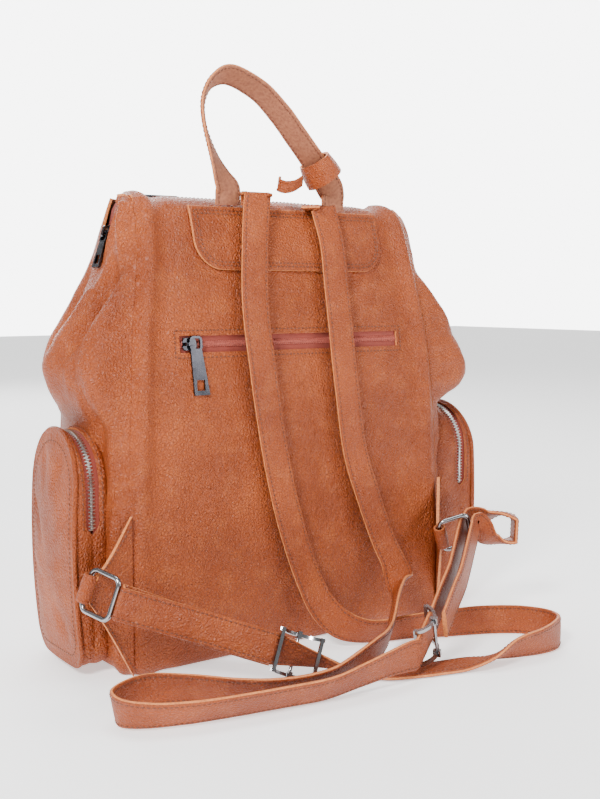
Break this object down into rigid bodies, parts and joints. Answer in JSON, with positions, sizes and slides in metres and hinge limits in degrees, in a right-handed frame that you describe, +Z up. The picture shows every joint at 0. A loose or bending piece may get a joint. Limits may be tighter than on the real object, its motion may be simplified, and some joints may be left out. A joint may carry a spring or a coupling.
{
  "type": "backpack",
  "caption": "Soft leather backpack with a zipped top, a zip pocket in the back, side pockets, a carrying handle and adjustable shoulder straps on rings and slides.",
  "frame": {"origin": "middle of the flat base, on the floor", "axes": "+Z up towards the handle, +X across the bag, -Y towards the wearer's back (the side with straps and yoke)"},
  "size_m": [0.3955, 0.2611, 0.4315],
  "materials": {
    "body_leather": "soft pebbled cognac leather",
    "strap_leather": "two layers sewn edge to edge, pale raw edges",
    "board": "thin stiffening board",
    "lining": "thin woven lining",
    "zip_tape": "woven dusty red tape",
    "coil": "nylon coil",
    "metal_teeth": "pale metal teeth",
    "hardware": "dark polished nickel"
  },
  "bodies": {
    "bag": {"back_panel": "body_leather", "back_pouch": "lining", "back_yoke": "body_leather", "back_zip_coil": "coil", "back_zip_tape": "zip_tape", "base_board": "board", "base_panel": "body_leather", "front_panel": "body_leather", "handle_ends": "strap_leather", "left_adjuster_bar": "hardware", "left_gusset": "body_leather", "left_pocket_face": "body_leather", "left_pocket_wall": "body_leather", "left_pocket_zip_tape": "zip_tape", "left_pocket_zip_teeth": "metal_teeth", "left_strap": "strap_leather", "left_tab": "strap_leather", "lining": "lining", "main_zip_coil": "coil", "main_zip_tape": "zip_tape", "right_adjuster_bar": "hardware", "right_gusset": "body_leather", "right_pocket_face": "body_leather", "right_pocket_wall": "body_leather", "right_pocket_zip_tape": "zip_tape", "right_pocket_zip_teeth": "metal_teeth", "right_strap": "strap_leather", "right_tab": "strap_leather"},
    "back_zip_slider": {"back_zip_slider": "hardware"},
    "back_zip_puller": {"back_zip_puller": "hardware"},
    "main_zip_top_slider": {"main_zip_top_slider": "hardware"},
    "main_zip_top_puller": {"main_zip_top_puller": "hardware"},
    "main_zip_side_slider": {"main_zip_side_slider": "hardware"},
    "main_zip_side_puller": {"main_zip_side_puller": "hardware"},
    "left_pocket_zip_slider": {"left_pocket_zip_slider": "hardware"},
    "left_pocket_zip_puller": {"left_pocket_zip_puller": "hardware"},
    "right_pocket_zip_slider": {"right_pocket_zip_slider": "hardware"},
    "right_pocket_zip_puller": {"right_pocket_zip_puller": "hardware"},
    "left_ring": {"left_ring": "hardware"},
    "right_ring": {"right_ring": "hardware"},
    "left_adjuster": {"left_adjuster": "hardware"},
    "right_adjuster": {"right_adjuster": "hardware"},
    "handle": {"handle": "strap_leather", "handle_knot": "strap_leather"}
  },
  "joints": [
    {"name": "back_zip_travel", "type": "slide", "parent": "bag", "child": "back_zip_slider", "axis": [1, 0, 0], "range_m": [0, 0.184]},
    {"name": "back_zip_puller_turn", "type": "hinge", "parent": "back_zip_slider", "child": "back_zip_puller", "pos_m": [-0.092, -0.05683, 0.23068], "axis": [0, -0.0866, -0.9962], "range_deg": [0, 165]},
    {"name": "main_zip_travel", "type": "slide", "parent": "bag", "child": "main_zip_top_slider", "axis": [1, 0, 0], "range_m": [0, 0.218]},
    {"name": "main_zip_top_puller_lift", "type": "hinge", "parent": "main_zip_top_slider", "child": "main_zip_top_puller", "pos_m": [-0.109, 0, 0.3371], "axis": [0, -1, 0], "range_deg": [0, 150]},
    {"name": "main_zip_end_travel", "type": "slide", "parent": "bag", "child": "main_zip_side_slider", "axis": [-0.3067, 0, -0.9518], "range_m": [0, 0.004]},
    {"name": "main_zip_side_puller_lift", "type": "hinge", "parent": "main_zip_side_slider", "child": "main_zip_side_puller", "pos_m": [-0.1281, 0, 0.31029], "axis": [0, 1, 0], "range_deg": [0, 110]},
    {"name": "left_pocket_zip_travel", "type": "hinge", "parent": "bag", "child": "left_pocket_zip_slider", "pos_m": [-0.162, -0.003, 0.132], "axis": [1, 0, 0], "range_deg": [0, 180]},
    {"name": "left_pocket_zip_puller_lift", "type": "hinge", "parent": "left_pocket_zip_slider", "child": "left_pocket_zip_puller", "pos_m": [-0.162, 0.0381, 0.132], "axis": [1, 0, 0], "range_deg": [0, 110]},
    {"name": "right_pocket_zip_travel", "type": "hinge", "parent": "bag", "child": "right_pocket_zip_slider", "pos_m": [0.182, -0.008, 0.132], "axis": [1, 0, 0], "range_deg": [0, 180]},
    {"name": "right_pocket_zip_puller_lift", "type": "hinge", "parent": "right_pocket_zip_slider", "child": "right_pocket_zip_puller", "pos_m": [0.182, 0.0331, 0.132], "axis": [1, 0, 0], "range_deg": [0, 110]},
    {"name": "left_ring_swing", "type": "hinge", "parent": "bag", "child": "left_ring", "pos_m": [-0.177, -0.063, 0.07], "axis": [0.2996, -0.0999, 0.9488], "range_deg": [-3, 3]},
    {"name": "right_ring_swing", "type": "hinge", "parent": "bag", "child": "right_ring", "pos_m": [0.124, -0.085, 0.07], "axis": [-0.4182, -0.1992, 0.8862], "range_deg": [-3, 0]},
    {"name": "left_adjuster_travel", "type": "slide", "parent": "bag", "child": "left_adjuster", "axis": [-0.8563, 0.3877, 0.3413], "range_m": [0, 0.002]},
    {"name": "right_adjuster_travel", "type": "slide", "parent": "bag", "child": "right_adjuster", "axis": [0.7849, 0.5026, 0.3623], "range_m": [-0.002, 0.002]},
    {"name": "handle_fold", "type": "hinge", "parent": "bag", "child": "handle", "pos_m": [0, -0.0376, 0.337], "axis": [1, 0, 0], "range_deg": [-45, 0], "stiffness_Nm_per_rad": 0.15}
  ]
}
